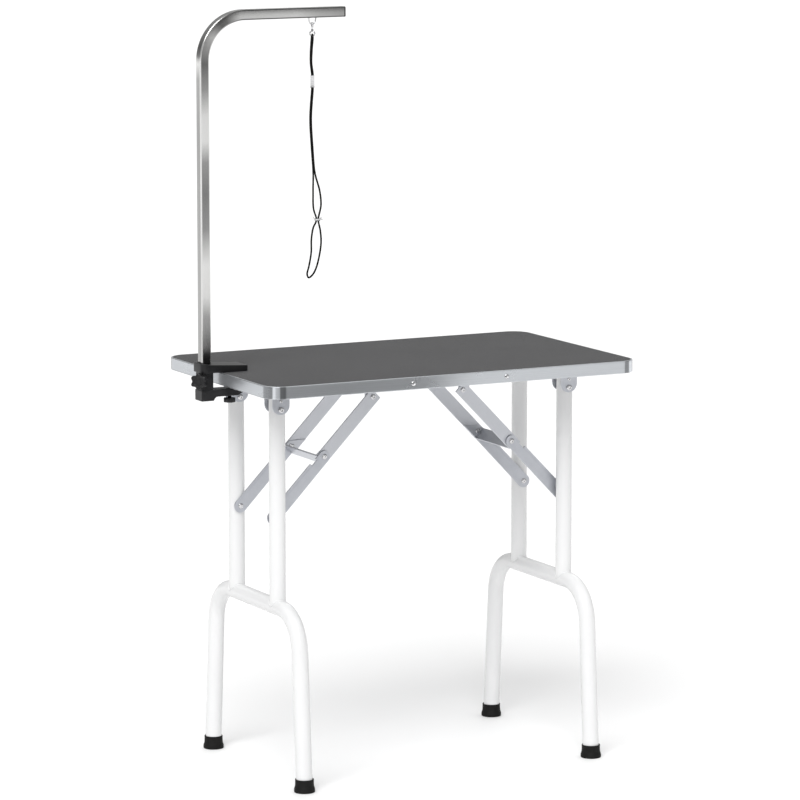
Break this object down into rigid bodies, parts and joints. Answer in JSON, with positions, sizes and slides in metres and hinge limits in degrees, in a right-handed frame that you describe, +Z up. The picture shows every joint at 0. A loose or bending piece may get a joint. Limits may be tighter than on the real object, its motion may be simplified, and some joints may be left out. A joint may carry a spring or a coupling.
{
  "type": "folding pet grooming table",
  "caption": "Folding pet grooming table: non-slip top, splayed tube legs on folding braces, and a clamped square overhead arm with a hanging noose.",
  "frame": {"origin": "centre of the base of the bounding box, on the floor, measured without the noose, its fittings and the snap hook", "axes": "+Z up from the floor; +X along the tabletop away from the arm; +Y towards the rear long edge, so X, Y and Z are right-handed"},
  "size_m": [0.8706, 0.492, 1.5035],
  "materials": {
    "board": "grey laminated board",
    "mat": "fine pebbled anti-slip",
    "trim": "satin anodised",
    "white_paint": "gloss powder coat",
    "plated_steel": "bright zinc plate",
    "stainless": "satin brushed",
    "black_plastic": "satin moulded",
    "black_rubber": "matt",
    "chrome": "polished",
    "cord": "braided"
  },
  "bodies": {
    "tabletop": {"top_board": "board", "top_mat": "mat", "edge_trim": "trim", "edge_screw_front_1": "chrome", "edge_screw_front_2": "chrome", "edge_screw_rear_1": "chrome", "edge_screw_rear_2": "chrome", "leg_bracket_left_front": "plated_steel", "leg_bracket_left_rear": "plated_steel", "leg_bracket_right_front": "plated_steel", "leg_bracket_right_rear": "plated_steel", "leg_pivot_bolt_left_front": "chrome", "leg_pivot_bolt_left_rear": "chrome", "leg_pivot_bolt_right_front": "chrome", "leg_pivot_bolt_right_rear": "chrome", "brace_bracket_left_front": "plated_steel", "brace_bracket_left_rear": "plated_steel", "brace_bracket_right_front": "plated_steel", "brace_bracket_right_rear": "plated_steel", "brace_upper_rivet_left_front": "chrome", "brace_upper_rivet_left_rear": "chrome", "brace_upper_rivet_right_front": "chrome", "brace_upper_rivet_right_rear": "chrome"},
    "left_leg": {"left_u_leg": "white_paint", "upper_tube_left_front": "white_paint", "upper_tube_left_rear": "white_paint", "foot_left_front": "black_rubber", "foot_left_rear": "black_rubber", "brace_lower_rivet_left_front": "chrome", "brace_lower_rivet_left_rear": "chrome"},
    "left_lower_links": {"lower_link_left_front": "plated_steel", "lower_link_left_rear": "plated_steel", "brace_mid_rivet_left_front": "chrome", "brace_mid_rivet_left_rear": "chrome"},
    "left_upper_brace": {"left_upper_brace": "plated_steel"},
    "right_leg": {"right_u_leg": "white_paint", "upper_tube_right_front": "white_paint", "upper_tube_right_rear": "white_paint", "foot_right_front": "black_rubber", "foot_right_rear": "black_rubber", "brace_lower_rivet_right_front": "chrome", "brace_lower_rivet_right_rear": "chrome"},
    "right_lower_links": {"lower_link_right_front": "plated_steel", "lower_link_right_rear": "plated_steel", "brace_mid_rivet_right_front": "chrome", "brace_mid_rivet_right_rear": "chrome"},
    "right_upper_brace": {"right_upper_brace": "plated_steel"},
    "clamp": {"clamp_body": "black_plastic"},
    "post_knob": {"post_knob": "black_plastic"},
    "clamp_pad": {"clamp_pad": "black_rubber"},
    "clamp_screw": {"clamp_screw": "black_plastic"},
    "arm": {"arm_tube": "stainless", "arm_end_cap": "black_plastic", "arm_eye": "chrome"},
    "snap_hook": {"snap_hook": "chrome"},
    "noose": {"noose_cord": "cord", "noose_crimp": "chrome", "noose_slider": "chrome"}
  },
  "joints": [
    {"name": "left_leg_fold", "type": "hinge", "parent": "tabletop", "child": "left_leg", "pos_m": [-0.28906, 0, 0.736], "axis": [0, -1, 0], "range_deg": [0, 82]},
    {"name": "left_upper_brace_fold", "type": "hinge", "parent": "tabletop", "child": "left_upper_brace", "pos_m": [-0.06966, 0, 0.741], "axis": [0, -1, 0], "range_deg": [-51, 0]},
    {"name": "left_lower_link_fold", "type": "hinge", "parent": "left_leg", "child": "left_lower_links", "pos_m": [-0.28906, 0, 0.518], "axis": [0, -1, 0], "range_deg": [0, 36]},
    {"name": "right_leg_fold", "type": "hinge", "parent": "tabletop", "child": "right_leg", "pos_m": [0.34974, 0, 0.736], "axis": [0, 1, 0], "range_deg": [0, 70]},
    {"name": "right_upper_brace_fold", "type": "hinge", "parent": "tabletop", "child": "right_upper_brace", "pos_m": [0.13034, 0, 0.741], "axis": [0, 1, 0], "range_deg": [-44, 0]},
    {"name": "right_lower_link_fold", "type": "hinge", "parent": "right_leg", "child": "right_lower_links", "pos_m": [0.34974, 0, 0.518], "axis": [0, 1, 0], "range_deg": [0, 38]},
    {"name": "clamp_slide", "type": "slide", "parent": "tabletop", "child": "clamp", "axis": [0, 1, 0], "range_m": [-0.15, 0.15]},
    {"name": "clamp_screw_travel", "type": "slide", "parent": "clamp", "child": "clamp_pad", "axis": [0, 0, -1], "range_m": [0, 0.004]},
    {"name": "clamp_screw_turn", "type": "hinge", "parent": "clamp_pad", "child": "clamp_screw", "pos_m": [-0.34666, 0, 0.745], "axis": [0, 0, -1], "range_deg": [0, 1153]},
    {"name": "post_knob_turn", "type": "hinge", "parent": "clamp", "child": "post_knob", "pos_m": [-0.39966, 0, 0.789], "axis": [-0.7071, -0.7071, 0], "range_deg": [0, 360]},
    {"name": "arm_height", "type": "slide", "parent": "clamp", "child": "arm", "axis": [0, 0, 1], "range_m": [-0.15, 0.03]},
    {"name": "hook_swing", "type": "hinge", "parent": "arm", "child": "snap_hook", "pos_m": [-0.16466, 0, 1.4707], "axis": [1, 0, 0], "range_deg": [-50, 50]},
    {"name": "noose_swing", "type": "hinge", "parent": "snap_hook", "child": "noose", "pos_m": [-0.16466, 0, 1.447], "axis": [0.7955, -0.606, 0], "range_deg": [-25, 25]}
  ],
  "couplings": [
    {"joint": "left_upper_brace_fold", "follows": "left_leg_fold", "ratio": -0.60591},
    {"joint": "left_lower_link_fold", "follows": "left_leg_fold", "ratio": 0.43084},
    {"joint": "right_upper_brace_fold", "follows": "right_leg_fold", "ratio": -0.61424},
    {"joint": "right_lower_link_fold", "follows": "right_leg_fold", "ratio": 0.5294},
    {"joint": "clamp_screw_turn", "follows": "clamp_screw_travel", "rad_per_m": 5026.5}
  ]
}
